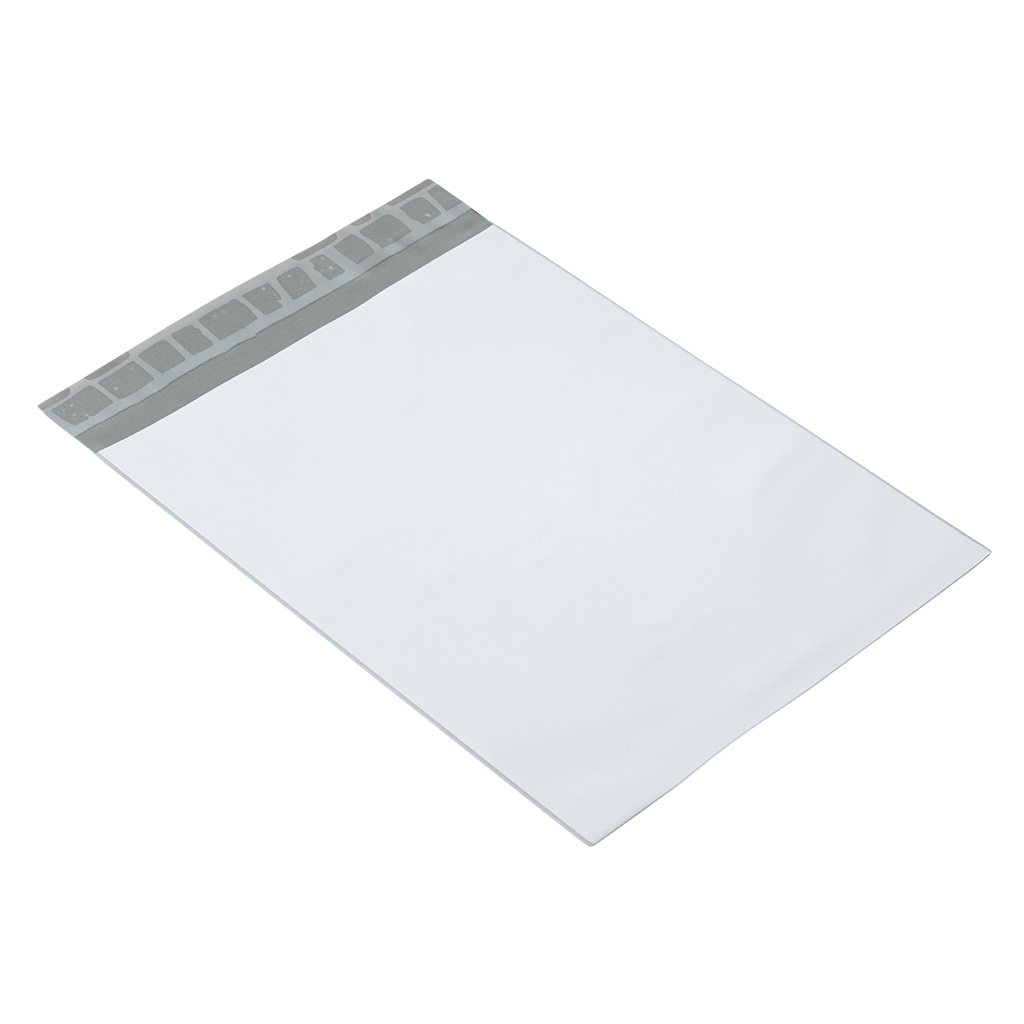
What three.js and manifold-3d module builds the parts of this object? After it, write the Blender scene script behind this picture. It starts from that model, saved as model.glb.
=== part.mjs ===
// A self-seal poly mailer bag, empty and lying flat on its back panel.
//
// Millimetres, +Z up. The origin is on the surface that the bag lies on, under the middle of it.
// +Y points from the bottom fold to the flap and +X to the right, seen from above.
//
// The bag is one web of film, folded once at the bottom. The two layers are welded together down both
// sides, and the longer, lower layer runs on past the mouth as the flap. The flap carries a strip of
// glue under a release liner.

import * as THREE from 'three';
import { mergeVertices } from 'three/addons/utils/BufferGeometryUtils.js';
import Module from 'manifold-3d';

const wasm = await Module();
wasm.setup();

// ---------------------------------------------------------------- driving dimensions

const BAG_WIDTH = 254;
const POCKET_LENGTH = 330; // from the bottom fold to the mouth
const FLAP_LENGTH = 50; // from the mouth to the end of the flap

const FILM_THICKNESS = 0.064;
const WELD_WIDTH = 2.4;
const WELD_GAP = 0.02; // between the two layers inside a weld, filled by melted film

const FOLD_GAP = 0.9; // pocket height at the bottom fold, midway across
const MOUTH_GAP = 0.8; // pocket height at the mouth, midway across
const TRAPPED_AIR = 1; // what the air left in the bag adds to the height halfway along
const CROWN_POWER = 4; // how square the pocket's section is: 2 is a parabola

const GLUE_THICKNESS = 0.04;
const GLUE_WIDTH = 27; // of the glued band, measured down from the end of the flap
const LINER_THICKNESS = 0.05;
const LINER_WIDTH = 33.5; // of the liner, which covers the glue and leaves a dry lip below it

const FOLD_STEPS = 6;
const PANEL_STEPS = 14;
const CROWN_STEPS = 12; // across each half of the bag

// ---------------------------------------------------------------- places that follow from them

const BAG_LENGTH = POCKET_LENGTH + FLAP_LENGTH;
const FOLD_Y = -BAG_LENGTH / 2;
const MOUTH_Y = FOLD_Y + POCKET_LENGTH;
const FLAP_END_Y = BAG_LENGTH / 2;
const WELD_X = BAG_WIDTH / 2 - WELD_WIDTH; // inner edge of each weld

// ---------------------------------------------------------------- the pocket's inner height

/** Height between the two layers: nothing but the weld's own gap at the sides, a crown between them. */
function pocketHeight(x, y) {
  const along = (y - FOLD_Y) / POCKET_LENGTH;
  const ends = THREE.MathUtils.lerp(FOLD_GAP, MOUTH_GAP, along);
  const crown = ends + TRAPPED_AIR * Math.sin(Math.PI * along);
  const across = Math.min(Math.abs(x) / WELD_X, 1);
  return WELD_GAP + crown * (1 - across ** CROWN_POWER);
}

// ---------------------------------------------------------------- bag film

/** Positions across the bag, closer together towards the welds, where the crown falls away. */
function columns() {
  const half = [];
  for (let i = 1; i <= CROWN_STEPS; i += 1) {
    half.push(WELD_X * Math.sin((i / CROWN_STEPS) * (Math.PI / 2)));
  }
  half.push(BAG_WIDTH / 2);
  return [...half.map((x) => -x).reverse(), 0, ...half];
}

/**
 * The web's rows, in the order that it is wound: the flap's end, the fold, then up to the mouth.
 * Each row gives a point of the film at x, on its white side (side 1) or its grey side (side -1).
 */
function rows() {
  const half = FILM_THICKNESS / 2;
  const backRow = (y) => (x, side) => new THREE.Vector3(x, y, half - side * half);
  const frontRow = (y) => (x, side) => {
    const middle = FILM_THICKNESS + pocketHeight(x, y) + half;
    return new THREE.Vector3(x, y, middle + side * half);
  };
  const foldRow = (turn) => (x, side) => {
    const bend = pocketHeight(x, FOLD_Y) / 2; // inner radius of the fold
    const radius = bend + half + side * half;
    const y = FOLD_Y + bend + FILM_THICKNESS - radius * Math.sin(turn);
    return new THREE.Vector3(x, y, FILM_THICKNESS + bend - radius * Math.cos(turn));
  };
  const list = [backRow(FLAP_END_Y), backRow(MOUTH_Y)];
  for (let i = 0; i <= FOLD_STEPS; i += 1) {
    list.push(foldRow((Math.PI * i) / FOLD_STEPS));
  }
  for (let i = 1; i <= PANEL_STEPS; i += 1) {
    list.push(frontRow(FOLD_Y + (POCKET_LENGTH * i) / PANEL_STEPS));
  }
  return list;
}

/** The flat web, a box with a grid of columns and rows, wound into the shape of the folded bag. */
function foldedWeb() {
  const xs = columns();
  const places = rows();
  const web = new THREE.BoxGeometry(1, 1, 1, xs.length - 1, places.length - 1, 1);
  const position = web.attributes.position;
  for (let i = 0; i < position.count; i += 1) {
    const column = Math.round((position.getX(i) + 0.5) * (xs.length - 1));
    const row = Math.round((position.getY(i) + 0.5) * (places.length - 1));
    const point = places[row](xs[column], Math.sign(position.getZ(i)));
    position.setXYZ(i, point.x, point.y, point.z);
  }
  return web;
}

/** The melted film inside one side weld, from halfway through one layer to halfway through the other. */
function weld(side) {
  const height = FILM_THICKNESS + WELD_GAP;
  const length = POCKET_LENGTH - FILM_THICKNESS / 2;
  const bar = new THREE.BoxGeometry(WELD_WIDTH, length, height);
  const x = side * (WELD_X + WELD_WIDTH / 2);
  bar.translate(x, MOUTH_Y - length / 2, FILM_THICKNESS / 2 + height / 2);
  return bar;
}

// ---------------------------------------------------------------- joining

/** A three.js geometry as a solid that can be joined. */
function solid(geometry) {
  const bare = geometry.clone();
  bare.deleteAttribute('normal');
  bare.deleteAttribute('uv');
  const merged = mergeVertices(bare, 1e-5);
  const vertProperties = new Float32Array(merged.attributes.position.array);
  const triVerts = new Uint32Array(merged.index.array);
  return new wasm.Manifold(new wasm.Mesh({ numProp: 3, vertProperties, triVerts }));
}

/** Several overlapping geometries as one. */
function joined(geometries) {
  const mesh = geometries.map(solid).reduce((whole, next) => whole.add(next)).getMesh();
  const geometry = new THREE.BufferGeometry();
  geometry.setAttribute('position', new THREE.BufferAttribute(mesh.vertProperties, 3));
  geometry.setIndex(new THREE.BufferAttribute(mesh.triVerts, 1));
  geometry.computeVertexNormals();
  return geometry;
}

// ---------------------------------------------------------------- flap

/** A flat strip across the whole flap, from its end down, with its underside at z. */
function flapStrip(width, thickness, z) {
  const strip = new THREE.BoxGeometry(BAG_WIDTH, width, thickness);
  return strip.translate(0, FLAP_END_Y - width / 2, z + thickness / 2);
}

// ---------------------------------------------------------------- materials

const whiteFilm = new THREE.MeshStandardMaterial({ color: 0xe6eaec, roughness: 0.42, metalness: 0 });
const glue = new THREE.MeshStandardMaterial({ color: 0x8f9594, roughness: 0.2, metalness: 0 });
const linerFilm = new THREE.MeshStandardMaterial({ color: 0xaab1b1, roughness: 0.3, metalness: 0 });

// ---------------------------------------------------------------- the bag

function named(name, geometry, material) {
  const mesh = new THREE.Mesh(geometry, material);
  mesh.name = name;
  return mesh;
}

const bag = new THREE.Group();
bag.add(
  named('bag_film', joined([foldedWeb(), weld(-1), weld(1)]), whiteFilm),
  named('adhesive_strip', flapStrip(GLUE_WIDTH, GLUE_THICKNESS, FILM_THICKNESS), glue),
  named('release_liner', flapStrip(LINER_WIDTH, LINER_THICKNESS, FILM_THICKNESS + GLUE_THICKNESS), linerFilm),
);

export default bag;
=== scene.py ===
# A self-seal poly mailer bag, empty, lying flat on its back panel with the flap open.
#
# The script follows the bag as it is made: the web of film, folded and welded, then the glue on the
# flap, then the release liner over the glue. The table, the lights and the camera come last.
# Shapes are worked out in millimetres, +Z up, +Y towards the flap and +X to the right seen from above.

import bpy
import numpy as np
from mathutils import Matrix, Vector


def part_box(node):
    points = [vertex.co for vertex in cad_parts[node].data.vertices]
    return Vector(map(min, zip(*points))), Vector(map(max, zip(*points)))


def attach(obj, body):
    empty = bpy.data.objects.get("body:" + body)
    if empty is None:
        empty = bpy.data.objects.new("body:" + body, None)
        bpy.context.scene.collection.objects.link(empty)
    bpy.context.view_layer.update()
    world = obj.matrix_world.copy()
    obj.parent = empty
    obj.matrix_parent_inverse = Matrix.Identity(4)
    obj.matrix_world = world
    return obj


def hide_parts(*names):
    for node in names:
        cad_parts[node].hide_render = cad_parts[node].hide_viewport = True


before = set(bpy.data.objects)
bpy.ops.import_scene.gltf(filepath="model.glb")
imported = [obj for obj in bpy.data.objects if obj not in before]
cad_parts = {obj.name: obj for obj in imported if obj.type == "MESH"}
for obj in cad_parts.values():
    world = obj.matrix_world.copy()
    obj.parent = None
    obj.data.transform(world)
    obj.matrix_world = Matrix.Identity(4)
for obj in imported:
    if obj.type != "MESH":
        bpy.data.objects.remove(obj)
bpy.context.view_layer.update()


# ---------------------------------------------------------------- bag film
# The film is blown polyethylene in two co-extruded layers, white outside and grey inside. One web of it
# is folded at the bottom, and a hot knife welds and trims both long sides. The back panel runs on past
# the mouth as the flap. Nothing fills the bag, so the film lies in soft ripples.

MM = 0.001  # metres in a millimetre
RIM_X, FLAP_END_Y, _ = np.array(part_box("bag_film")[1]) / MM
FOLD_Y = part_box("bag_film")[0].y / MM
POCKET_LENGTH = 330
MOUTH_Y = FOLD_Y + POCKET_LENGTH
FILM_THICKNESS = 0.064

LEFT_WELD, RIGHT_WELD = 2.1, 1.35  # the bags are cut apart off the middle of the weld
WELD_GAP = 0.02  # melted film between the two layers
SHOULDER_HEIGHT = 0.35  # how far the front panel springs up beside each weld,
SHOULDER_REACH = 0.15  # and within what distance
FOLD_GAP = 0.12  # pocket height over the shoulders, midway across: at the fold,
MOUTH_GAP = 0.6  # at the mouth,
TRAPPED_AIR = 0.9  # and what the air left in the bag adds between them
PUCKER_HEIGHT, PUCKER_REACH = 0.05, 7  # of the short ridges square to each weld
TRIM_REACH = 30  # how far in from each side the film follows its uneven trim
LIP_DROP, LIP_REACH = 0.18, 0.45  # how the front panel's cut edge turns down at the mouth
BEAD_RADIUS, BEAD_WAVER = 0.13, 0.02  # of the bead that the hot knife leaves

# (distance from the middle, offset from a straight cut), in mm
FLAP_CUT = [(-127, -2.0), (-122, -1.8), (-110, -1.73), (-80, -1.6), (-20, -1.4), (10, -1.05), (40, -0.8),
            (70, -0.6), (100, -0.75), (110, -0.6), (118, -0.65), (125, -0.62), (127, -1.1)]
MOUTH_CUT = [(-127, 2.4), (-122, 1.9), (-106, 0.15), (-90, -0.8), (-74, -1.2), (-58, -1.2), (-42, -1.6),
             (-26, -2.3), (6, -2.3), (22, -2.8), (30, -3.0), (54, -2.0), (70, -1.85), (86, -1.6),
             (118, -1.45), (127, -0.8)]
FOLD_LINE = [(-127, 0.0), (-108, -0.2), (-76, -0.4), (-60, 0.25), (-42, 0.67), (-28, 0.48), (-4, -0.4),
             (10, -0.65), (36, -0.65), (84, -0.6), (100, -0.45), (112, -0.3), (120, 0.0), (127, 0.6)]
# (place along the bag, offset to the right of each side's trim), in mm
LEFT_TRIM = [(-190, 1.8), (-189.5, 0.8), (-188.7, 0.4), (-187, 0.15), (-182, 0), (-150, -0.15),
             (30, -0.2), (90, 0), (122, 0), (130, 0.14), (138, 0.2), (142, 0.38), (147, 0.42),
             (152, 0.32), (156, 0.55), (162, 0.5), (170, 0.3), (176, 0.35), (180, 0.5), (184, 0.95),
             (190, 1.7)]
RIGHT_TRIM = [(-190, -1.2), (-189.3, -0.2), (-188.3, 0.3), (-186, 0.45), (-178, 0.3), (-150, 0),
              (-60, 0.1), (-30, -0.2), (0, -0.5), (60, -0.3), (90, -0.22), (120, -0.45), (130, -0.55),
              (136, -0.62), (139, -0.66), (144, -1.1), (148, -0.95), (156, -0.7), (164, -0.52),
              (180, -0.42), (184, -0.45), (190, -0.75)]
# (distance from the middle, height of the flap's end above the table), in mm
FLAP_WAVE = [(-127, 0.2), (-106, 0.5), (-90, 1.0), (-58, 2.1), (-42, 2.6), (-18, 2.9), (-2, 2.5),
             (30, 1.2), (54, 0.2), (62, 0.5), (102, 0.6), (127, 1.0)]
FOLD_ARCH_X, FOLD_ARCH_HEIGHT = -42, 0.3  # where the bottom fold arches up off the table
FOLD_ARCH_WIDTH, FOLD_ARCH_REACH = 22, 16

# ripples of the front panel, and then of the flap: start, end, height, width and sideways bow, in mm
RIPPLES = [
    ((-60, 18), (-6, 70), 0.14, 8, 0),
    ((-30, 12), (24, 62), 0.14, 9, 0),
    ((-8, 62), (11, 71), 0.28, 6, 0),
    ((41, 98), (53, 136), 0.42, 5, 0),
    ((12, 76), (42, 102), 0.10, 8, 0),
    ((-12, 6), (80, 38), 0.08, 8, 0),
    ((80, 30), (114, 44), 0.14, 8, 0),
    ((84, 114), (112, 101), 0.26, 7, 0),
    ((-108, 5), (-60, 8), 0.20, 6, 3),
    ((-84, -30), (-52, -33), 0.18, 6, 0),
    ((-50, -36), (12, -36), 0.12, 8, 0),
    ((10, -46), (44, -12), 0.24, 8, 0),
    ((50, -32), (122, -29), 0.22, 5, 4),
    ((90, -40), (114, -35), 0.22, 5, 0),
    ((-34, -55), (-18, -54), 0.26, 4, 1),
    ((-68, -66), (-49, -60), 0.20, 4, 1),
    ((37, -92), (47, -90), 0.18, 3, 0),
    ((-110, -100), (-60, -104), 0.08, 6, 0),
    ((70, -94), (126, -81), 0.48, 7, 6),
    ((26, -138), (118, -94), 0.72, 17, 9),
    ((72, -164), (132, -124), 0.52, 9, 5),
    ((-28, -113), (10, -116), 0.36, 5, -4),
    ((-52, -134), (-17, -131), 0.34, 6, 4),
    ((-14, -132), (14, -134), 0.34, 5, 4),
    ((-130, -112), (-46, -152), 0.46, 11, -6),
    ((-126, -150), (-74, -176), -0.46, 8, 3),
    ((-26, -176), (40, -179), 0.54, 6, 0),
    ((48, -180), (132, -178), 0.34, 6, 0),
]
FLAP_RIPPLES = [
    ((76, 158), (93, 157), 0.45, 5, 0),
    ((53, 159), (71, 158), 0.35, 5, 0),
    ((106, 151), (126, 150), 0.35, 4, 0),
    ((30, 150), (50, 152), 0.15, 4, 0),
]


def through(points, x):
    """The smooth line through (place, value) points, a cubic between each two. Its slope at a point is the
    harmonic mean of the slopes to either side, or level where the points turn, so it never overshoots."""
    place, value = np.array(points, float).T
    chord = np.diff(value) / np.diff(place)
    same_way = chord[:-1] * chord[1:] > 0
    mean = 2 * chord[:-1] * chord[1:] / np.where(same_way, chord[:-1] + chord[1:], 1)
    slope = np.concatenate([chord[:1], np.where(same_way, mean, 0), chord[-1:]])
    i = np.clip(np.searchsorted(place, x) - 1, 0, len(place) - 2)
    step = place[i + 1] - place[i]
    t = np.clip((x - place[i]) / step, 0, 1)
    ends = value[i] * (1 + 2 * t) * (1 - t) ** 2 + value[i + 1] * (3 - 2 * t) * t ** 2
    return ends + step * t * (1 - t) * (slope[i] * (1 - t) - slope[i + 1] * t)


def smooth_step(x, start, end):
    """0 before start, 1 after end, and the cubic 3t^2 - 2t^3 between them."""
    t = np.clip((x - start) / (end - start), 0, 1)
    return t * t * (3 - 2 * t)


def bell(x, middle, width):
    """1 at the middle, falling as e to the minus square of the distance from it, in widths."""
    return np.exp(-(((x - middle) / width) ** 2))


def ripple(x, y, start, end, height, width, bow):
    """A long low ridge, or a valley where height is negative: a bell across the line from start to end,
    bent sideways by bow at the middle, that dies away towards both ends. Its left flank is 1.7 widths
    long and its right one 0.72."""
    dx, dy = np.subtract(end, start)
    length = np.hypot(dx, dy)
    along = ((x - start[0]) * dx + (y - start[1]) * dy) / length ** 2
    across = ((y - start[1]) * dx - (x - start[0]) * dy) / length - 4 * bow * along * (1 - along)
    flank = width * np.where(across > 0, 1.7, 0.72)
    return height * np.exp(-((across / flank) ** 2) - np.abs(2 * along - 1) ** 4)


def puckers(x, y):
    """Short ridges square to each weld: a sum of three waves along it that dies away inwards."""
    inside = RIM_X - np.where(x < 0, LEFT_WELD, RIGHT_WELD) - np.abs(x)
    side = np.sign(x)
    waves = np.sin(y / 5.3 + side) + np.sin(y / 3.7 + 2 * side) + np.sin(y / 8.9 + 4 * side)
    return PUCKER_HEIGHT * waves * np.exp(-np.abs(inside) / PUCKER_REACH)


def lift(x, y):
    """Height of the film's underside above the table: the flap rises towards its end in one long wave,
    as its length to the power 1.5, with a few ripples, and the bottom fold arches up in one place."""
    up_the_flap = np.clip((y - MOUTH_Y) / (FLAP_END_Y - MOUTH_Y), 0, 1)
    rippled = sum(ripple(x, y, *line) for line in FLAP_RIPPLES) * smooth_step(y, MOUTH_Y, MOUTH_Y + 5)
    arch = FOLD_ARCH_HEIGHT * bell(x, FOLD_ARCH_X, FOLD_ARCH_WIDTH) * bell(y, FOLD_Y, FOLD_ARCH_REACH)
    return through(FLAP_WAVE, x) * up_the_flap ** 1.5 + rippled + arch


def trimmed(x, y):
    """The place across the bag once its sides are trimmed: each side's offset, dying away inwards."""
    left = through(LEFT_TRIM, y) * smooth_step(-x, RIM_X - TRIM_REACH, RIM_X)
    return x + left + through(RIGHT_TRIM, y) * smooth_step(x, RIM_X - TRIM_REACH, RIM_X)


def pocket_height(x, y):
    """Height between the two layers: the weld's own gap, then a steep rounded shoulder, lower near the
    fold, then a flat crown of trapped air that falls as the fourth power across, with the ripples on it."""
    along = np.clip((y - FOLD_Y) / POCKET_LENGTH, 0, 1)
    weld_x = RIM_X - np.where(x < 0, LEFT_WELD, RIGHT_WELD)
    across = np.clip(np.abs(x) / weld_x, 0, 1)
    inside = weld_x * (1 - across)
    shoulder = SHOULDER_HEIGHT * (1 - np.exp(-inside / SHOULDER_REACH))
    shoulder = shoulder * (0.3 + 0.7 * smooth_step(along, 0, 0.06))
    crown = FOLD_GAP + (MOUTH_GAP - FOLD_GAP) * along + TRAPPED_AIR * np.sin(np.pi * along) ** 0.8
    rippled = sum(ripple(x, y, *line) for line in RIPPLES) + puckers(x, y)
    ends = smooth_step(along, 0, 0.05) * smooth_step(inside, 0, 4)
    return WELD_GAP + np.maximum(shoulder + crown * (1 - across ** 4) + rippled * ends, 0)


def web_columns():
    """Places across the web: 0.2 to 0.5 mm apart over the welds and their shoulders, then 3 mm apart."""
    near = 10 * np.linspace(0, 1, 31) ** 1.2 - RIM_X
    middle = np.linspace(10 - RIM_X, RIM_X - 10, 79)[1:-1]
    return np.concatenate([near, middle, -near[::-1]])


def film_web():
    """The middle surface of the folded web as rows by columns of points, its direction outwards, and how
    many rows lie in the back panel. Rows run from the flap's end down the back panel, half round the
    fold on a circle as high as the pocket, and up the front panel. They lie closer together at the mouth
    and the fold. The direction outwards is the cross product of the two ways along the grid."""
    x = web_columns()[None, :]
    end = FLAP_END_Y + through(FLAP_CUT, x)
    fold = FOLD_Y + through(FOLD_LINE, x)
    mouth = MOUTH_Y + through(MOUTH_CUT, x)
    bend = (pocket_height(x, fold) + FILM_THICKNESS) / 2

    near_fold = np.array([0, 0.2, 0.4, 0.6, 0.9, 1.3, 2, 3.3, 5, 7.5])
    down = [np.linspace(0, 0.118, 24), np.linspace(0.118, 0.14, 24)[1:], np.linspace(0.14, 0.975, 82)[1:]]
    down = np.concatenate([*down, 1 - near_fold[::-1] / (FLAP_END_Y - FOLD_Y)])[:, None]
    back_y = end + (fold + bend - end) * down
    back_z = lift(x, back_y) + FILM_THICKNESS / 2

    turn = np.linspace(0, np.pi, 13)[1:-1, None]
    fold_y = fold + bend - bend * np.sin(turn)
    fold_z = lift(x, fold + bend) + FILM_THICKNESS / 2 + bend - bend * np.cos(turn)

    up = [near_fold, np.linspace(10, 324, 118), np.linspace(324, 329, 9)[1:], [329.3, 329.6, 329.8, 330]]
    up = np.concatenate(up)[:, None] / POCKET_LENGTH
    front_y = fold + bend + (mouth - fold - bend) * up
    lip = LIP_DROP * np.exp((front_y - mouth) / LIP_REACH) * smooth_step(RIM_X - np.abs(x), 0, 8)
    front_z = lift(x, front_y) + FILM_THICKNESS * 1.5 + pocket_height(x, front_y) - lip

    y = np.concatenate([back_y, fold_y, front_y])
    z = np.concatenate([back_z, fold_z, front_z])
    middle = np.stack([trimmed(x, y), y, z], -1)
    outwards = np.cross(np.gradient(middle, axis=1), np.gradient(middle, axis=0))
    return middle, outwards / np.linalg.norm(outwards, axis=-1, keepdims=True), len(back_y)


def closed_sheet(front, back):
    """Vertices, quads and rim marks of a thin sheet between two grids of points, closed round its edge.
    The front faces the way that its columns crossed with its rows point."""
    rows, columns = front.shape[:2]
    number = np.arange(rows * columns).reshape(rows, columns)
    a, b, c, d = number[:-1, :-1], number[:-1, 1:], number[1:, 1:], number[1:, :-1]
    faces = [np.stack([a, b, c, d], -1).reshape(-1, 4)]
    faces.append(rows * columns + np.stack([a, d, c, b], -1).reshape(-1, 4))
    edge = np.concatenate([number[0, :-1], number[:-1, -1], number[-1, :0:-1], number[:0:-1, 0]])
    ahead = np.roll(edge, -1)
    faces.append(np.stack([ahead, edge, edge + rows * columns, ahead + rows * columns], -1))
    rim = np.repeat([False, False, True], [len(f) for f in faces])
    return np.concatenate([front.reshape(-1, 3), back.reshape(-1, 3)]), np.concatenate(faces), rim


def bead(side, rings=160, sides=8):
    """The bead that the hot knife leaves along one side: a circle carried from the fold to the mouth. Its
    radius wavers as the product of two sines and shrinks to a point at both ends."""
    along = np.linspace(0, 1, rings)[:, None]
    fold = FOLD_Y + through(FOLD_LINE, np.array([side * RIM_X])) + 0.1
    mouth = MOUTH_Y + through(MOUTH_CUT, np.array([side * RIM_X]))
    angle = np.linspace(0, 2 * np.pi, sides, endpoint=False)[None, :]
    radius = BEAD_RADIUS + BEAD_WAVER * np.sin(along * 90) * np.sin(along * 37)
    radius = radius * np.clip(np.minimum(along, 1 - along) * rings, 0.02, 1)
    y = fold + (mouth - fold) * along
    trim = trimmed(np.array([[side * RIM_X]]), y) - side * 0.06
    ring = np.stack([trim + radius * np.cos(angle), y + 0 * angle,
                     FILM_THICKNESS + WELD_GAP / 2 + 0.07 + radius * np.sin(angle)], -1)
    number = np.arange(rings * sides).reshape(rings, sides)
    around = np.roll(number, -1, axis=1)
    walls = np.stack([number[:-1], number[1:], around[1:], around[:-1]], -1).reshape(-1, 4)
    caps = [tuple(number[0]), tuple(number[-1, ::-1])]
    return ring.reshape(-1, 3), walls, caps


def new_piece(name, points, faces, flat_faces, attributes, materials, material_index):
    """A mesh object with its place in its mesh: points in mm, smooth but for flat_faces, with one number
    a vertex for each named attribute."""
    mesh = bpy.data.meshes.new(name)
    mesh.from_pydata((points * MM).tolist(), [], [tuple(f) for f in faces])
    mesh.polygons.foreach_set("use_smooth", ~flat_faces)
    for material in materials:
        mesh.materials.append(material)
    mesh.polygons.foreach_set("material_index", material_index.astype(np.int32))
    for key, values in attributes.items():
        mesh.attributes.new(key, "FLOAT", "POINT").data.foreach_set("value", values.astype(np.float32))
    mesh.update()
    piece = bpy.data.objects.new(name, mesh)
    bpy.context.scene.collection.objects.link(piece)
    return piece


def shader(name):
    """An empty material and its node tree, with a Principled shader joined to the output."""
    material = bpy.data.materials.new(name)
    material.use_nodes = True
    tree = material.node_tree
    tree.nodes.clear()
    surface = tree.nodes.new("ShaderNodeBsdfPrincipled")
    output = tree.nodes.new("ShaderNodeOutputMaterial")
    tree.links.new(surface.outputs[0], output.inputs["Surface"])
    return material, tree, surface


def node(tree, kind, inputs, **settings):
    """A new node's first output. Each input is a number or colour to set, or a socket to join."""
    made = tree.nodes.new("ShaderNode" + kind)
    for key, value in settings.items():
        setattr(made, key, value)
    for key, value in inputs.items():
        if isinstance(value, bpy.types.NodeSocket):
            tree.links.new(value, made.inputs[key])
        else:
            made.inputs[key].default_value = value
    return made.outputs[0]


def mix_colour(tree, factor, first, second, blend_type="MIX"):
    """first where factor is 0 and second where it is 1."""
    made = tree.nodes.new("ShaderNodeMix")
    made.data_type = "RGBA"
    made.blend_type = blend_type
    for key, value in ((0, factor), (6, first), (7, second)):
        if isinstance(value, bpy.types.NodeSocket):
            tree.links.new(value, made.inputs[key])
        else:
            made.inputs[key].default_value = value
    return made.outputs[2]


def times(tree, base, factor):
    """The colour base with each of its channels times factor."""
    grey = node(tree, "CombineColor", {0: factor, 1: factor, 2: factor})
    return mix_colour(tree, 1.0, base, grey, "MULTIPLY")


def speckled(tree, base, noise, amount):
    """The colour base made up to amount lighter and darker by the noise."""
    span = {"Value": noise, "From Min": 0.3, "From Max": 0.7, "To Min": -1.0}
    swing = node(tree, "MapRange", span, clamp=False)
    return times(tree, base, node(tree, "Math", {0: swing, 1: amount, 2: 1.0}, operation="MULTIPLY_ADD"))


def object_place(tree):
    """The place on the object, in metres."""
    return node(tree, "TexCoord", {}).node.outputs["Object"]


def marked(tree, name):
    """The number that the mesh carries under this name."""
    return node(tree, "Attribute", {}, attribute_name=name).node.outputs["Fac"]


def film_material(name, colour, weld_colour, grain, speckle):
    """Satin polyethylene: faint clouding over some 60 mm, a fine speckle, extrusion lines across the bag,
    and a fine grain in the relief. The weld is greyer and glossier, and the painted shade, painted
    highlights and tone marked on the mesh make the film darker or lighter."""
    material, tree, surface = shader(name)
    place = object_place(tree)
    weld = marked(tree, "weld")
    clouds = node(tree, "TexNoise", {"Vector": place, "Scale": 17, "Detail": 3})
    drawn = node(tree, "Mapping", {"Vector": place, "Scale": (12, 900, 12)})
    lines = node(tree, "TexNoise", {"Vector": drawn, "Scale": 1, "Detail": 2})
    fine = node(tree, "TexNoise", {"Vector": place, "Scale": 2000, "Detail": 1})
    base = mix_colour(tree, weld, (*colour, 1), (*weld_colour, 1))
    base = speckled(tree, base, fine, speckle)
    base = speckled(tree, base, clouds, 0.006)
    base = speckled(tree, base, lines, 0.004)
    # the painted shade and painted highlights marked on the mesh, with a few tones, darken or lighten the
    # film here
    base = times(tree, base, node(tree, "Math", {0: 1.0, 1: marked(tree, "painted_shade_and_tone")}, operation="SUBTRACT"))
    tree.links.new(base, surface.inputs["Base Color"])
    gloss = node(tree, "MapRange", {"Value": clouds, "From Min": 0.3, "From Max": 0.7,
                                    "To Min": 0.40, "To Max": 0.47})
    gloss = node(tree, "Math", {0: weld, 1: -0.1, 2: gloss}, operation="MULTIPLY_ADD")
    tree.links.new(gloss, surface.inputs["Roughness"])
    relief = node(tree, "Math", {0: lines, 1: 0.25, 2: fine}, operation="MULTIPLY_ADD")
    bump = node(tree, "Bump", {"Strength": 1.0, "Distance": grain * MM, "Height": relief})
    tree.links.new(bump, surface.inputs["Normal"])
    surface.inputs["IOR"].default_value = 1.5
    surface.inputs["Specular IOR Level"].default_value = 0.4
    return material


WHITE, MELTED_WHITE, GREY = (0.658, 0.68, 0.708), (0.378, 0.411, 0.434), (0.215, 0.236, 0.236)
white_film = film_material("white film", WHITE, MELTED_WHITE, grain=0.008, speckle=0.045)
grey_film = film_material("grey film", GREY, GREY, grain=0.02, speckle=0.18)

# (distance from the middle, how dark the painted shade line along the fold and the painted shadow line
# behind the mouth are)
FOLD_SHADE = [(-125.2, 0), (-124.5, 1.3), (-100, 1.4), (-80, 1.1), (-42, 0.5), (-20, 0.7), (10, 1.1),
               (40, 1.0), (70, 1.4), (100, 1.6), (118, 1.75), (122, 2.1), (124.9, 2.4), (125.5, 0)]
MOUTH_SHADOW = [(-127, 0.42), (-50, 0.46), (-20, 0.4), (10, 0.4), (40, 0.34), (70, 0.1), (100, 0.26),
                (127, 0.26)]
FOLD_DARKNESS = 0.42  # share of light that the painted shade line along the fold loses where the list above gives 1
MOUTH_SHINE, WELD_SHINE = 0.28, 0.04  # painted highlights: how much lighter the film is at its cut edge and beside the welds
# the painted shadow line, where the front panel's edge shades the flap, lies this far behind the mouth, and
# further by this share of the height of the mouth
SHADE_NEAR, SHADE_SLOPE = 0.32, 0.77
RIGHT_EDGE_SHADOW = 0.6  # of the painted shadow line along the flap's right side, just below the liner
LEFT_PALE, RIGHT_PALE = 1.3, 0.7  # how much lighter the back panel's trimmed sides are, below the liner
# (place across a weld, from 0 at its inner edge to 1 at its rim, how grey it is)
LEFT_PROFILE = [(-0.03, 0), (0.05, 1.2), (0.18, 1.2), (0.32, 0.66), (0.62, 0.58), (0.8, 0.66), (1, 0.56)]
RIGHT_PROFILE = [(-0.05, 0), (0.12, 1), (0.75, 1), (1, 0.75)]
# (place along the bag, how grey each weld is there)
LEFT_GREY = [(-190, 1.02), (-120, 1), (-60, 0.9), (0, 0.95), (60, 0.9), (90, 1.05), (120, 1.25)]
RIGHT_GREY = [(-190, 1.05), (-165, 1), (-140, 0.9), (-110, 0.8), (-60, 0.68), (0, 0.5), (60, 0.7),
              (120, 0.9)]
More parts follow.
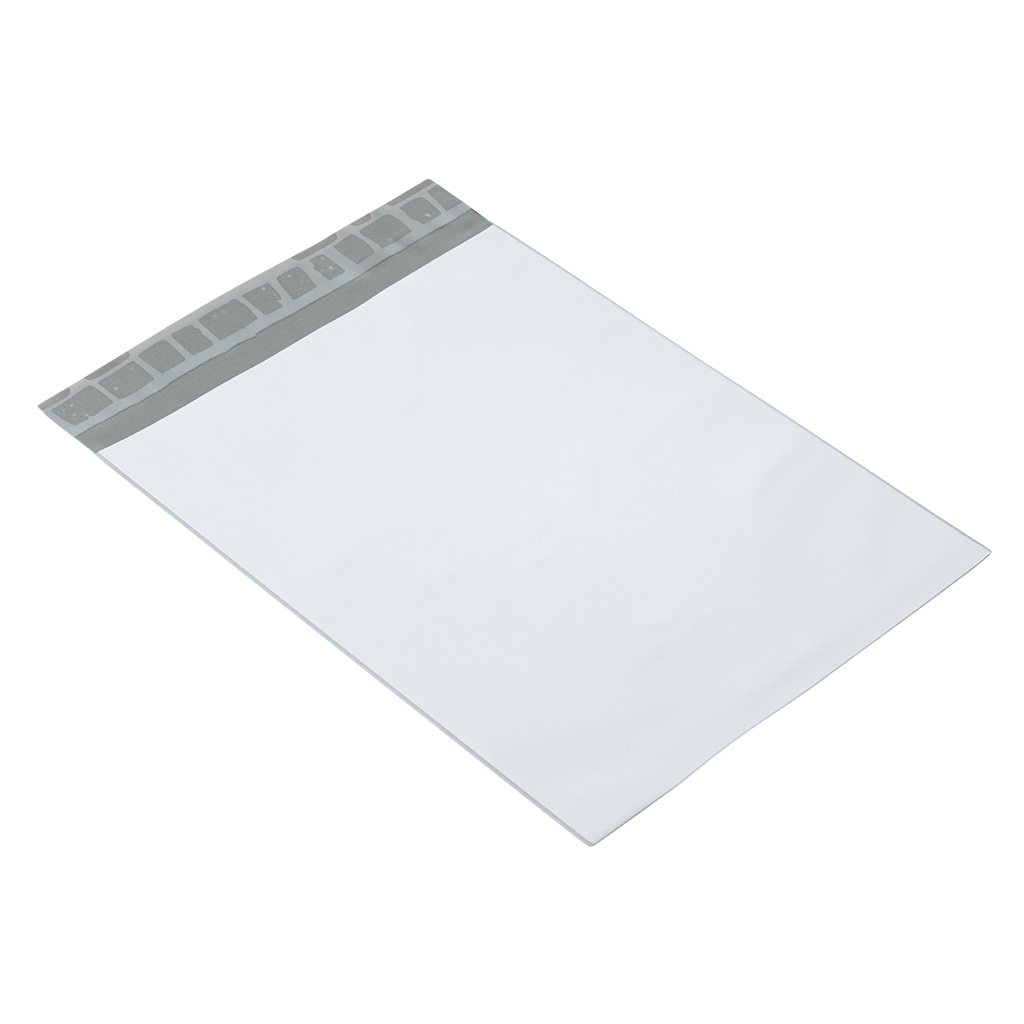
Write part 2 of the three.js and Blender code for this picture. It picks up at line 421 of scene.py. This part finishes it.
# patches of painted shade and light on the grey side of the flap, where it bends and by the liner's lip:
# place, half length, half width, how much darker than plain
SHADE_PATCHES = [
    (-105, 147, 22, 4, 0.02), (-116, 148, 6, 5, 0.05), (-70, 145, 2.5, 6, 0.07), (-110, 155, 8, 2, -0.10),
    (-90, 154.5, 3, 1.5, -0.08), (-82, 153, 2, 3, 0.05), (-34, 154, 5, 2, -0.07), (0, 148, 3, 5, 0.05),
    (40, 150, 8, 5, 0.06), (51, 152, 4, 3, -0.09), (50, 155.5, 6, 1.8, -0.52),
    (-34, 155.6, 5, 1.4, -0.12), (84, 155.6, 8, 1.4, -0.16), (60, 154, 4, 1.8, 0.09),
    (78, 150, 3, 5, -0.06), (84.5, 150.5, 3, 4.5, 0.13), (92, 153, 4, 3, -0.09),
    (105, 155.3, 4, 1.6, 0.24), (90, 155.5, 4, 1.5, -0.10), (80, 144, 6, 2, -0.06),
    (102, 144, 9, 3, -0.08), (112, 142.5, 7, 2, -0.14), (116.5, 147, 3.5, 2.2, 0.14),
    (123, 144, 3, 2.5, -0.12), (124, 154, 2, 1.8, 0.10), (-120.5, 143.5, 3.5, 1.8, -0.06),
    (-108, 157, 15, 1.3, -0.13), (108, 155.5, 3, 1.5, 0.08), (-123.5, 145, 2.5, 5, -0.16),
]


def blotches(x, y, places):
    """A sum of soft oval bells: each has its place, half length, half width and height."""
    return sum(height * bell(x, px, rx) * bell(y, py, ry) for px, py, rx, ry, height in places)


def straight_through(points, x):
    """The straight lines through (place, value) points, level beyond both ends."""
    return np.interp(x, *np.array(points).T)


def weld_marks(x, y, in_pocket):
    """How grey each weld is, its profile across it times its tone along it, and 0 off the welds. Towards
    the mouth the left one splits into a fine double line. Towards the fold the right one widens, narrows
    again, and fades out over its last 2 mm."""
    left, right = ((edge - RIM_X + np.abs(x)) / edge for edge in (LEFT_WELD, RIGHT_WELD))
    double = bell(left, 0.8, 0.1) - 1.2 * bell(left, 0.5, 0.15)
    left = straight_through(LEFT_PROFILE, left) * straight_through(LEFT_GREY, y)
    double = double * (0.15 * smooth_step(y, 40, 110) + 0.35 * smooth_step(y, 115, 137))
    left = left + double * smooth_step(-x, RIM_X - LEFT_WELD, RIM_X - 1)
    right = right + 0.15 * smooth_step(-y, 120, 150) - 0.3 * smooth_step(-y, 172, 189)
    right = straight_through(RIGHT_PROFILE, right) * straight_through(RIGHT_GREY, y)
    right = right * smooth_step(y, FOLD_Y + 0.5, FOLD_Y + 2)
    return in_pocket * np.where(x < 0, left, right)


def front_shade_and_highlights(x, y):
    """How much darker than plain film the front panel is painted, for light and shade. A painted shade line
    half a millimetre wide runs along the fold, with a painted highlight just inside it and a soft band of
    painted shade over both. The cut edge of the mouth gets a painted highlight, and so does the foot of
    each shoulder."""
    from_fold = y - FOLD_Y - through(FOLD_LINE, x)
    inner = smooth_step(x, -95, -75) * (0.2 + 0.15 * smooth_step(x, 106, 116))
    line = 1 - smooth_step(from_fold, 0.25, 0.5) - inner * bell(from_fold, 0.9, 0.28)
    turned = 0.05 * smooth_step(x, 85, 115) + 0.13 * smooth_step(-x, 75, 100)
    turned = turned * bell(from_fold, 0, 2.5)
    past_mouth = y - MOUTH_Y - through(MOUTH_CUT, x)
    beside_weld = RIM_X - np.where(x < 0, LEFT_WELD, RIGHT_WELD) - np.abs(x)
    shine = MOUTH_SHINE * smooth_step(past_mouth, -0.5, -0.3) + WELD_SHINE * bell(beside_weld, 0.35, 0.25)
    return FOLD_DARKNESS * through(FOLD_SHADE, x) * line + turned - shine


def flap_shade_and_tone(x, y):
    """How much darker than plain film the back panel and the flap are. A thin painted shadow line lies
    behind the mouth, where the front panel's edge shades the flap, and another runs along the right side
    just below the liner. Further down both trimmed sides are pale, and patches of painted shade and light
    lie between them."""
    past_mouth = y - MOUTH_Y - through(MOUTH_CUT, x)
    shaded = SHADE_NEAR + SHADE_SLOPE * pocket_height(x, MOUTH_Y)
    behind = through(MOUTH_SHADOW, x) * bell(past_mouth, shaded, 0.45)
    # a painted shadow line along the flap's right side, just below the liner
    knife = RIGHT_EDGE_SHADOW * smooth_step(x, RIM_X - 1.6, RIM_X - 0.8)
    knife = knife * smooth_step(y, 143, 153) * smooth_step(-y, -158, -156)
    pale = RIGHT_PALE * smooth_step(x, RIM_X - 1.1, RIM_X - 0.5) * smooth_step(-y, -145, -142)
    pale = pale + LEFT_PALE * smooth_step(-x, RIM_X - 1.1, RIM_X - 0.3) * smooth_step(-y, -160, -151)
    return behind + knife + blotches(x, y, SHADE_PATCHES) - pale


web, outwards, back_rows = film_web()
half = outwards * FILM_THICKNESS / 2
points, quads, rim = closed_sheet(web + half, web - half)
flat_x, web_y = web_columns() + 0 * web[..., 0], web[..., 1]
in_front = np.arange(web.shape[0])[:, None] >= back_rows
in_pocket = in_front | (web_y < MOUTH_Y + through(MOUTH_CUT, flat_x))
# painted shade, painted highlights and a few tones, as a share darker than plain film
painted_shade_and_tone = np.where(in_front, front_shade_and_highlights(flat_x, web_y), flap_shade_and_tone(flat_x, web_y))
marks = {"weld": weld_marks(flat_x, web_y, in_pocket), "painted_shade_and_tone": painted_shade_and_tone}
marks = {key: np.tile(mark.ravel(), 2) for key, mark in marks.items()}
white_quads = (web.shape[0] - 1) * (web.shape[1] - 1)
inside = (np.arange(len(quads)) >= white_quads) & ~rim
faces, flat_faces = quads.tolist(), rim.tolist()
for side in (-1, 1):
    ring_points, walls, caps = bead(side)
    faces += (walls + len(points)).tolist() + [tuple(np.array(cap) + len(points)) for cap in caps]
    flat_faces += [False] * len(walls) + [True] * len(caps)
    marks["weld"] = np.concatenate([marks["weld"], np.full(len(ring_points), 0.5)])
    marks["painted_shade_and_tone"] = np.concatenate([marks["painted_shade_and_tone"], np.zeros(len(ring_points))])
    points = np.concatenate([points, ring_points])
inside = np.concatenate([inside, np.zeros(len(faces) - len(inside), bool)])

film = new_piece("mailer_film", points, faces, np.array(flat_faces), marks, [white_film, grey_film], inside)
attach(film, "root")
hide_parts("bag_film")


# ---------------------------------------------------------------- glue
# A band of clear hot-melt glue is coated across the grey side of the flap, up to its end. It is tacky
# and never dries, so the liner over it wets it in blocks, with narrow channels of air between them.

glue_low, glue_high = (np.array(corner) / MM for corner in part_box("adhesive_strip"))
GLUE_THICKNESS = glue_high[2] - glue_low[2]
LINER_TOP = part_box("release_liner")[1].z / MM  # over the table, where the flap lies flat
GLUE_GAP = 0.004  # under the glue, so that it and the film are not in one plane
CHANNEL_SHARE = 0.7  # of the glue's thickness that is left in a channel
OUTLINE_WOBBLE, BAND_WOBBLE = 0.16, 0.3  # how uneven the blocks' outlines and the band's lower edge are

# The blocks and the bubbles are marked out level with the table. On the raised flap each mark moves by
# these shares of the height of its place.
MARK_SHIFT_X, MARK_SHIFT_Y = -0.717, -0.772
MARKS_UP = 0.1  # and the blocks go this much further up the flap
# outlines of the wetted blocks, from left to right
BLOCKS = [
    [(-123.1, 181), (-118, 180.6), (-110, 181.4), (-100, 182.4), (-98, 182), (-97.2, 178), (-97, 172),
     (-97.4, 165), (-98.2, 164.7), (-103, 164.8), (-110, 163.9), (-112, 165), (-112.6, 165.4),
     (-113.6, 163.8), (-121.2, 164.6), (-122.2, 170)],
    [(-94, 180.8), (-92.5, 181.2), (-85, 181.4), (-71.9, 182), (-71.8, 176), (-72.3, 168), (-72.8, 164.8),
     (-78, 164.1), (-87, 163.5), (-92, 164), (-93.8, 164.8), (-94.2, 174)],
    [(-67.8, 183), (-66.8, 183.6), (-54, 184.5), (-51.5, 184), (-51, 180), (-52, 172), (-52.8, 165.3),
     (-58, 165), (-67.5, 165), (-67.9, 176)],
    [(-46.8, 183.5), (-45.5, 184.4), (-36, 183.6), (-34.7, 183.3), (-34.9, 179.6), (-33.9, 179.2),
     (-33.9, 177.8), (-35.2, 175), (-35.5, 167), (-36, 165), (-37.5, 164.3), (-47.9, 165), (-48.3, 168),
     (-47.3, 178)],
    [(-30, 183.8), (-20, 184.4), (-14, 183.8), (-8, 184), (-6.4, 183.5), (-6.5, 180), (-6, 176.5),
     (-6.5, 171.5), (-7.2, 170.5), (-7.8, 165), (-17, 164.1), (-31.6, 164.9), (-31, 174)],
    [(-2.5, 183.3), (6, 182.9), (13, 182), (12.4, 177), (10.7, 170), (10, 168.3), (9, 168), (8, 169.3),
     (7.2, 169.5), (6.9, 167), (7.3, 164), (6.5, 163.3), (-3, 164), (-3.6, 165), (-2.9, 177)],
    [(18.5, 182.3), (25, 182.6), (31, 182.2), (32, 181.5), (31.9, 178), (31.4, 174), (30.3, 171),
     (28.8, 163.5), (20, 163.4), (13.9, 163.4), (16.3, 175)],
    [(39.3, 181), (40, 181.6), (44, 181.5), (47.5, 180.6), (47.3, 173), (46.8, 163.5), (46.3, 162.6),
     (36.5, 163), (36.7, 165.6), (36.5, 168), (37.4, 170.3), (37.2, 172.1), (36.7, 174), (37.1, 175.9),
     (38.8, 176), (39.3, 178)],
    [(55.2, 181.5), (62, 182.3), (67.9, 182.9), (68.8, 181.5), (69.1, 175.3), (69.4, 173), (68.9, 170.5),
     (67.6, 164.5), (66, 163.8), (55, 162.9), (54.5, 172)],
    [(72.2, 180.4), (72.9, 181.9), (90, 182.6), (92.7, 182.1), (93.4, 175), (92, 163.8), (81, 163),
     (72.3, 163.9), (73, 168), (72.2, 178)],
    [(99.9, 181.9), (110, 182.2), (113.3, 181.3), (114.5, 179.6), (114.6, 177), (112.9, 165),
     (112.2, 163.6), (99.8, 163.9), (99.9, 166), (98.6, 172), (99, 175), (100, 177)],
    [(119.5, 182), (121, 182.2), (130, 182.6), (130, 163.6), (117, 163.7), (116.2, 164.2), (118, 173)],
]
# the next row of blocks, which the flap's end cuts off
CUT_BLOCKS = [
    [(-130, 195), (-130, 183.7), (-118.7, 183.5), (-112, 183.3), (-109.2, 184.2), (-106.7, 186.9),
     (-105.7, 195)],
    [(-98, 195), (-96, 185.5), (-93.6, 184.6), (-90, 184.1), (-72, 185.2), (-70.3, 186.5), (-68, 195)],
    [(34, 195), (34.6, 187), (35.5, 185.3), (38, 184.6), (52, 184.4), (58.1, 184.5), (61.2, 185.5),
     (62.4, 187.9), (64.5, 195)],
    [(71.7, 195), (73.8, 187.1), (75.2, 185.8), (81, 185), (83.8, 185.7), (90.5, 195)],
    [(97, 195), (97.8, 187), (98.8, 185.7), (102, 185.3), (130, 185.4), (130, 195)],
]
# bubbles left under the liner: place, radius and how much of the wetting they undo
BUBBLES = [
    (-113.3, 177, 0.8, 0.8), (-118, 177, 0.9, 0.45), (-116.5, 171, 0.8, 0.8), (-112.5, 166.5, 0.8, 0.8),
    (-113, 169, 0.6, 0.45), (-90.3, 172, 0.9, 1), (-76, 178, 0.9, 0.4), (-22, 180.5, 1.3, 0.35),
    (-17, 180, 1.3, 0.35), (8.8, 180.3, 0.9, 1), (9.8, 173, 0.8, 0.55), (24.3, 179, 0.8, 0.9),
    (29, 174.5, 0.8, 0.45), (26, 171.5, 0.8, 0.45), (38.8, 171.2, 0.8, 0.55), (43.4, 170.2, 0.8, 1),
    (43.4, 168.9, 0.6, 1), (45, 178.3, 0.8, 0.55), (79.5, 166, 0.9, 0.9), (106.4, 168.6, 0.9, 1),
    (106.8, 166.9, 0.9, 1),
]


def wobble(s, seed):
    """An uneven line: the sum of four waves, 1.3 to 6 mm long, of about unit height in all."""
    lengths, turns = (6.1, 3.3, 2.1, 1.3), np.array([1.0, 2.7, 4.1, 5.9]) * seed
    return sum(np.sin(2 * np.pi * s / step + turn) for step, turn in zip(lengths, turns)) / 2.5


def inside_by(x, y, outline):
    """Distance to the nearest edge of a closed outline, positive inside it. A place is inside if a line
    from it to the right crosses the outline an odd number of times."""
    a = np.array(outline, float)
    b = np.roll(a, -1, axis=0)
    px, py = x[..., None], y[..., None]
    ex, ey = (b - a).T
    t = np.clip(((px - a[:, 0]) * ex + (py - a[:, 1]) * ey) / (ex ** 2 + ey ** 2), 0, 1)
    gap = np.hypot(px - a[:, 0] - t * ex, py - a[:, 1] - t * ey).min(-1)
    spans = (a[:, 1] > py) != (b[:, 1] > py)
    crosses = spans & (px < a[:, 0] + (py - a[:, 1]) * ex / np.where(ey == 0, 1, ey))
    return np.where(crosses.sum(-1) % 2 == 1, gap, -gap)


def mark_place(x, y):
    """Where the mark that lands at (x, y) was marked out: back by the shift times the height of the
    liner's top there."""
    height = lift(x, y) + LINER_TOP
    return x - MARK_SHIFT_X * height, y - MARK_SHIFT_Y * height


def wetting(x, y):
    """Distance in mm to the edge of the nearest wetted block, positive inside one. The outlines are made
    slightly uneven by shifting the place in both directions."""
    px, py = mark_place(x, y)
    px, py = px + OUTLINE_WOBBLE * wobble(y, 1), py - MARKS_UP + OUTLINE_WOBBLE * wobble(x, 2)
    return np.maximum.reduce([inside_by(px, py, outline) for outline in BLOCKS + CUT_BLOCKS])


def bubbles(x, y):
    """How far the bubbles undo the wetting: at each a flat-topped bell, e to the minus sixth power of the
    distance in radii, times its share."""
    px, py = mark_place(x, y)
    return sum(share * np.exp(-((np.hypot(px - bx, py - by) / r) ** 6)) for bx, by, r, share in BUBBLES)


def flap_grid(lower, step):
    """Places over the end of the flap: columns a step apart all across it, and rows about a step apart
    from the line lower up to the flap's end."""
    x = np.linspace(-RIM_X, RIM_X, round(2 * RIM_X / step) + 1)[None, :]
    end = FLAP_END_Y + through(FLAP_CUT, x)
    up = np.linspace(0, 1, round(float(np.mean(end - lower(x))) / step) + 1)[:, None]
    return x, lower(x) + (end - lower(x)) * up


GLUE_EDGE_Y = glue_low[1]
glue_x, glue_y = flap_grid(lambda x: GLUE_EDGE_Y + BAND_WOBBLE * wobble(x, 3), step=1.2)
glue_z = lift(glue_x, glue_y) + FILM_THICKNESS
filled = smooth_step(wetting(glue_x, glue_y), -0.6, 0.6)
glue_top = GLUE_THICKNESS * (CHANNEL_SHARE + (1 - CHANNEL_SHARE) * filled)
glue_place = (trimmed(glue_x, glue_y), glue_y)
points, quads, rim = closed_sheet(np.stack([*glue_place, glue_z + glue_top], -1),
                                  np.stack([*glue_place, glue_z + GLUE_GAP], -1))

glue_material, tree, surface = shader("hot-melt glue")
strings = node(tree, "Mapping", {"Vector": object_place(tree), "Scale": (60, 500, 60)})
strings = node(tree, "TexNoise", {"Vector": strings, "Scale": 1, "Detail": 3})
tint = mix_colour(tree, strings, (0.19, 0.205, 0.195, 1), (0.24, 0.255, 0.24, 1))
tree.links.new(tint, surface.inputs["Base Color"])
tree.links.new(node(tree, "Bump", {"Strength": 1.0, "Distance": 0.05 * MM, "Height": strings}),
               surface.inputs["Normal"])
surface.inputs["Roughness"].default_value = 0.18

glue = new_piece("glue_band", points, quads, rim, {}, [glue_material], np.zeros(len(quads)))
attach(glue, "root")
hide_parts("adhesive_strip")


# ---------------------------------------------------------------- release liner
# The liner is thin siliconised polyethylene, hazy where air lies under it and clear where the glue has
# wetted it. It covers the glue, and its dry lower lip stands just clear of the flap to peel it by.

liner_low, liner_high = (np.array(corner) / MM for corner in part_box("release_liner"))
LINER_THICKNESS = liner_high[2] - liner_low[2]
CHANNEL_RISE = 0.05  # of the liner over an air channel
LIP_RISE = 0.10  # of the dry lip's edge
LIP_WOBBLE = 0.12  # how uneven the lip's edge is
LIP_RIM_HIGHLIGHT, BUBBLE_TONE = 0.09, 0.2  # how much lighter the lip's edge, a painted highlight, and the bubbles are

# (distance from the middle, place of the lip's edge along the bag), in mm
LIP_EDGE = [(-127, 158.0), (-114, 157.9), (-108, 157.3), (-100, 157.2), (-92, 156.7), (-89, 156.0),
            (-84, 156.4), (-75, 156.1), (-66, 157.05), (-50, 157.0), (-44, 156.8), (-40, 156.4),
            (-35, 155.8), (-30, 156.3), (-26, 156.1), (-21, 155.45), (-18, 154.8), (-16.5, 156.0),
            (-12, 156.1), (-4, 156.1), (0, 155.6), (10, 155.3), (20, 155.4), (30, 155.1), (48, 155.1),
            (60, 155.5), (70, 155.9), (80, 155.3), (100, 155.9), (113, 155.4), (127, 156.0)]
# (distance from the middle, how far the lip stands clear of the flap, as a share of LIP_RISE)
LIP_STAND = [(-127, 0.5), (-112, 0.6), (-96, 1.2), (-89, 0.3), (-80, 0.5), (-68, 1.1), (-46, 0.9),
             (-38, 0.3), (-28, 1.0), (-18, 0.2), (-8, 0.6), (20, 0.7), (50, 0.6), (65, 1.2), (74, 0.8),
             (90, 0.5), (103, 1.1), (115, 0.3), (127, 0.5)]

# (distance from the middle, how much lighter the lip is painted there): painted light and shade of the
# lip's bends, darker where it is bent down
LIP_SHADE = [(-127, 0.10), (-118, 0.06), (-114, 0), (-110, 0.05), (-106, -0.02), (-98, 0.06), (-92, 0.02),
            (-86, -0.07), (-82, 0.02), (-78, 0.04), (-74, -0.02), (-64, -0.04), (-54, 0.06),
            (-48, 0.05), (-44, 0.01), (-38, 0.07), (-30, 0), (-14, 0), (24, -0.02), (30, 0.06),
            (34, -0.02), (46, 0.05), (51, 0), (54, -0.11), (58, -0.19), (62, -0.13), (66, -0.15),
            (70, -0.08), (73, 0.04), (78, 0.02), (81, -0.22), (86, -0.15), (90, -0.03), (99, -0.04),
            (102, -0.14), (106, 0.01), (111, 0.04), (115, 0), (118, -0.11), (122, 0)]

# faint clouds in the liner: place, half length, half width, how much lighter
LINER_CLOUDS = [
    (84, 175, 9, 5, -0.08), (65, 186.5, 3.5, 3.5, -0.18), (88, 186, 4, 3.5, -0.24),
    (76.5, 188, 3.2, 3, 0.13), (103, 186.5, 5, 2.5, 0.06), (114, 187, 3, 2.5, -0.06),
    (-84, 185.5, 5, 3, -0.12), (-111, 185, 4, 2.5, -0.06), (-121, 186, 5, 3, 0.14),
    (-73, 187, 3, 3, 0.08), (124, 172, 5, 8, 0.03), (58, 176, 5, 8, -0.04), (60, 164, 7, 3, -0.06),
    (82, 164, 2.5, 3, -0.10), (104, 190, 6, 2.5, 0.08), (51, 174, 2.5, 8, -0.05),
    (96, 174, 2.5, 8, -0.07), (43, 173, 5, 9, 0.05), (122, 173, 5, 8, 0.05), (-124.5, 168, 3, 13, 0.07),
    (-32, 173, 2, 8, 0.06), (34, 176, 2, 6, 0.04), (20, 187, 14, 3, -0.05),
    (-20, 173, 9, 8, 0.03), (3, 174, 8, 8, 0.03), (-82, 172, 9, 8, 0.02), (-60, 173, 7, 8, 0.02),
]

liner_x, liner_y = flap_grid(lambda x: through(LIP_EDGE, x) + LIP_WOBBLE * wobble(x, 4), step=0.6)
wet = wetting(liner_x, liner_y)
from_glue = GLUE_EDGE_Y - liner_y
edge_rise = LIP_RISE * through(LIP_STAND, liner_x) * smooth_step(from_glue, -1, 7)
channel = CHANNEL_RISE * (1 - smooth_step(wet, -0.9, 0.1)) * (1 - smooth_step(from_glue, -1, 3))
under = lift(liner_x, liner_y) + FILM_THICKNESS + GLUE_THICKNESS + channel + edge_rise
liner_place = (trimmed(liner_x, liner_y), liner_y)
points, quads, rim = closed_sheet(np.stack([*liner_place, under + LINER_THICKNESS], -1),
                                  np.stack([*liner_place, under], -1))

liner_material, tree, surface = shader("release liner")
place = object_place(tree)
depth = marked(tree, "wetting")
upper = marked(tree, "towards_end")
folds = node(tree, "Mapping", {"Vector": place, "Scale": (90, 18, 18), "Rotation": (0, 0, 0.12)})
folds = node(tree, "TexNoise", {"Vector": folds, "Scale": 1, "Detail": 3})
mottle = node(tree, "TexNoise", {"Vector": place, "Scale": 1900, "Detail": 1})
haze = mix_colour(tree, folds, (0.275, 0.305, 0.310, 1), (0.365, 0.400, 0.408, 1))
haze = mix_colour(tree, upper, haze, (0.378, 0.398, 0.388, 1))
halo = node(tree, "MapRange", {"Value": depth, "From Min": -1.05, "From Max": -0.35, "To Min": 1.0,
                               "To Max": 1.04}, interpolation_type="SMOOTHSTEP")
haze = times(tree, haze, halo)
clear = mix_colour(tree, upper, (0.212, 0.234, 0.232, 1), (0.232, 0.246, 0.232, 1))
rim_line = node(tree, "MapRange", {"Value": depth, "From Min": 0.05, "From Max": 0.75, "To Min": 0.78,
                                   "To Max": 1.0}, interpolation_type="SMOOTHSTEP")
clear = times(tree, clear, rim_line)
share = node(tree, "MapRange", {"Value": depth, "From Min": -0.27, "From Max": -0.03},
             interpolation_type="SMOOTHSTEP")
undone = node(tree, "Math", {0: 1.0, 1: marked(tree, "bubbles")}, operation="SUBTRACT", use_clamp=True)
share = node(tree, "Math", {0: share, 1: undone}, operation="MULTIPLY")
base = mix_colour(tree, share, haze, clear)
mottling = node(tree, "MapRange", {"Value": share, "To Min": 0.08, "To Max": 0.22})
base = speckled(tree, base, mottle, mottling)
base = times(tree, base, marked(tree, "tone"))
tree.links.new(base, surface.inputs["Base Color"])
gloss = node(tree, "MapRange", {"Value": share, "To Min": 0.34, "To Max": 0.42})
tree.links.new(gloss, surface.inputs["Roughness"])
tree.links.new(node(tree, "Bump", {"Strength": 1.0, "Distance": 0.03 * MM, "Height": mottle}),
               surface.inputs["Normal"])
surface.inputs["Specular IOR Level"].default_value = 0.45

towards_end = smooth_step(liner_y, 181, 187) * (1 - 0.6 * smooth_step(liner_x, 60, 100))
# the lip's edge catches the light right of the middle and over the left half
lip_rim = smooth_step(-np.abs(liner_x - 41), -16, -6) + smooth_step(-liner_x, 30, 60)
lip_rim = lip_rim * smooth_step(through(LIP_EDGE, liner_x) - liner_y, -1.0, -0.3)
trapped = bubbles(liner_x, liner_y)
# the lip is painted darker and lighter for the light and shade of its bends, and its edge gets a painted
# highlight
tone = 1 + straight_through(LIP_SHADE, liner_x) * smooth_step(from_glue, -2.5, 0.5)
tone += blotches(liner_x, liner_y, LINER_CLOUDS) + BUBBLE_TONE * trapped + LIP_RIM_HIGHLIGHT * lip_rim
marks = {"wetting": wet, "bubbles": trapped, "towards_end": towards_end, "tone": tone}
marks = {key: np.tile(mark.ravel(), 2) for key, mark in marks.items()}
liner = new_piece("liner_strip", points, quads, rim, marks, [liner_material], np.zeros(len(quads)))
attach(liner, "root")
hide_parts("release_liner")


# ---------------------------------------------------------------- table
# A white sheet of board that the bag lies on, wide enough to fill every view.

BOARD_REACH = 6  # metres from the middle to each side
BOARD_Z = -2e-5  # just under the bag

board_mesh = bpy.data.meshes.new("table")
board_corners = [(x, y, BOARD_Z) for x, y in np.array([(-1, -1), (1, -1), (1, 1), (-1, 1)]) * BOARD_REACH]
board_mesh.from_pydata(board_corners, [], [(0, 1, 2, 3)])
table = bpy.data.objects.new("table", board_mesh)
bpy.context.scene.collection.objects.link(table)
board, tree, surface = shader("white board")
surface.inputs["Base Color"].default_value = (0.9, 0.9, 0.9, 1)
surface.inputs["Roughness"].default_value = 0.8
surface.inputs["Specular IOR Level"].default_value = 0.1
surface.inputs["Emission Color"].default_value = (1, 1, 1, 1)
surface.inputs["Emission Strength"].default_value = 0.3
board_mesh.materials.append(board)


# ---------------------------------------------------------------- studio light
# One large softbox beyond the flap, aimed down at the bag, and a weak spot overhead, in a white room.

def softbox(name, place, aim, size, watts):
    """A square area light at place, in metres, turned and tipped until it faces aim."""
    light = bpy.data.lights.new(name, "AREA")
    light.shape = "SQUARE"
    light.size = size
    light.energy = watts
    lamp = bpy.data.objects.new(name, light)
    direction = np.subtract(aim, place)
    lamp.location = place
    yaw, pitch = np.arctan2(direction[0], direction[1]), np.arctan2(-direction[2], np.hypot(*direction[:2]))
    lamp.rotation_euler = (np.pi / 2 - pitch, 0, -yaw)
    bpy.context.scene.collection.objects.link(lamp)


softbox("key softbox", place=(-0.5, 3.6, 2.1), aim=(0, 0, 0), size=2.2, watts=150)

glow = bpy.data.lights.new("overhead spot", "SPOT")
glow.energy = 16
glow.spot_size = np.radians(9)
glow.spot_blend = 1.0
glow.shadow_soft_size = 0.1
overhead = bpy.data.objects.new("overhead spot", glow)
overhead.location = (0.02, -0.03, 2.2)
bpy.context.scene.collection.objects.link(overhead)

world = bpy.data.worlds.new("white room")
world.use_nodes = True
world.node_tree.nodes["Background"].inputs["Color"].default_value = (1, 1, 1, 1)
world.node_tree.nodes["Background"].inputs["Strength"].default_value = 0.75
bpy.context.scene.world = world
bpy.context.scene.view_settings.view_transform = "Standard"


# ---------------------------------------------------------------- camera
# A long lens looks down over the bag's lower left side.

AZIMUTH, ELEVATION, ROLL = np.radians([-42.87, 43.51, -0.493])
DISTANCE = 1.4976  # metres from the lens to the aim
AIM = np.array([-0.01209, -0.02059, 0])
backwards = np.array([np.sin(AZIMUTH) * np.cos(ELEVATION), -np.cos(AZIMUTH) * np.cos(ELEVATION),
                      np.sin(ELEVATION)])
right = np.array([np.cos(AZIMUTH), np.sin(AZIMUTH), 0])
up = np.cross(backwards, right)
right, up = np.cos(ROLL) * right + np.sin(ROLL) * up, np.cos(ROLL) * up - np.sin(ROLL) * right

lens = bpy.data.cameras.new("camera")
lens.sensor_width = 36
lens.lens = 115.0
lens.clip_start = 0.05
lens.clip_end = 50
camera = bpy.data.objects.new("camera", lens)
bpy.context.scene.collection.objects.link(camera)
placement = np.eye(4)
placement[:3] = np.stack([right, up, backwards, AIM + backwards * DISTANCE], axis=1)
camera.matrix_world = Matrix(placement)
bpy.context.scene.camera = camera
